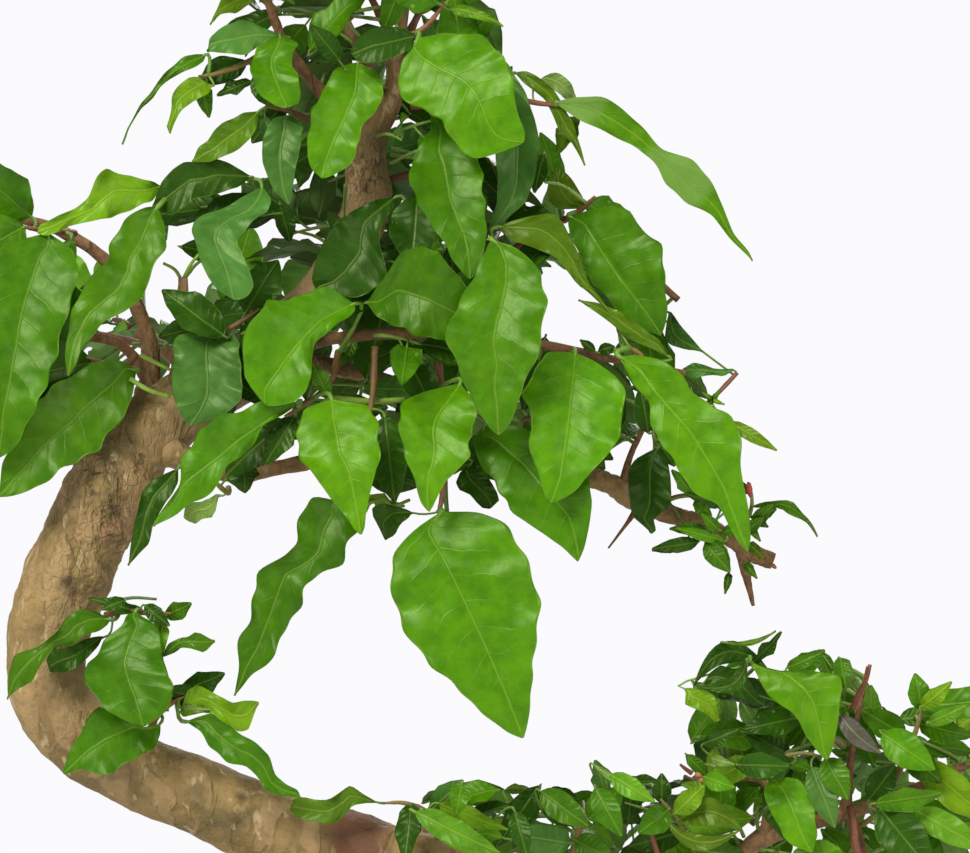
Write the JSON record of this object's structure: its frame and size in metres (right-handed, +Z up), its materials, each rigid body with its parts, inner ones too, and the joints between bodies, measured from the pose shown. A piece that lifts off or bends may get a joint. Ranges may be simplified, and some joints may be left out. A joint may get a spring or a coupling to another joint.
{
  "type": "chinese privet bonsai",
  "caption": "Small living privet trained as an S-shaped bonsai: bare curved trunk, pads of wavy opposite leaves on a crown and side limbs, rooted in soil in an oval stoneware pot.",
  "frame": {"origin": "on the ground under the middle of the pot and of the whole plant's spread", "axes": "+Z up the tree, X along the pot's length with the limb ends to +X, the front faces -Y"},
  "size_m": [0.33, 0.1846, 0.4951],
  "materials": {
    "bark": "matt, tan bark with low cracked plates, redder on young twigs",
    "leaf": "satin green upper face, paler matt underside, light midrib and rim",
    "stoneware": "unglazed brown stoneware, matt with a fine grain",
    "soil": "granular, matt",
    "screen": "matt black"
  },
  "bodies": {
    "root": {"tree": "bark", "pot": "stoneware", "soil": "soil", "drain_screen_left": "screen", "drain_screen_right": "screen", "shoot_crown_left": "leaf", "shoot_crown_left_top": "leaf", "shoot_crown_front": "leaf", "shoot_crown_low": "leaf", "shoot_crown_right": "leaf", "shoot_left_upper": "leaf", "shoot_left_outer": "leaf", "shoot_left_low": "leaf", "shoot_shoulder": "leaf", "shoot_front_left": "leaf", "shoot_front_low_left": "leaf", "shoot_front_hang_left": "leaf", "shoot_front_centre": "leaf", "shoot_front_upper": "leaf", "shoot_front_right": "leaf", "shoot_front_right_low": "leaf", "shoot_front_right_tip": "leaf", "shoot_right_high": "leaf", "shoot_right_far": "leaf", "shoot_limb_end": "leaf", "shoot_limb_hang": "leaf", "shoot_elbow_upper": "leaf", "shoot_elbow_lower": "leaf", "shoot_trunk_mid": "leaf", "shoot_trunk_low_left": "leaf", "shoot_trunk_low_right": "leaf", "shoot_pad_top": "leaf", "shoot_pad_middle": "leaf", "shoot_pad_right": "leaf", "shoot_pad_low": "leaf", "shoot_trunk_1": "leaf", "shoot_trunk_2": "leaf", "shoot_trunk_3": "leaf", "shoot_trunk_4": "leaf", "shoot_trunk_5": "leaf", "shoot_crown_left_6": "leaf", "shoot_crown_left_7": "leaf", "shoot_crown_mid_8": "leaf", "shoot_trunk_9": "leaf", "shoot_trunk_10": "leaf", "shoot_right_high_11": "leaf", "shoot_back_12": "leaf", "shoot_back_13": "leaf", "shoot_back_14": "leaf", "shoot_back_left_15": "leaf", "shoot_back_left_16": "leaf", "shoot_back_left_17": "leaf", "shoot_back_low_18": "leaf", "shoot_back_low_19": "leaf", "shoot_left_20": "leaf", "shoot_left_low_21": "leaf", "shoot_pad_22": "leaf", "shoot_pad_back_23": "leaf", "shoot_pad_back_24": "leaf", "shoot_low_back_25": "leaf"}
  },
  "joints": []
}
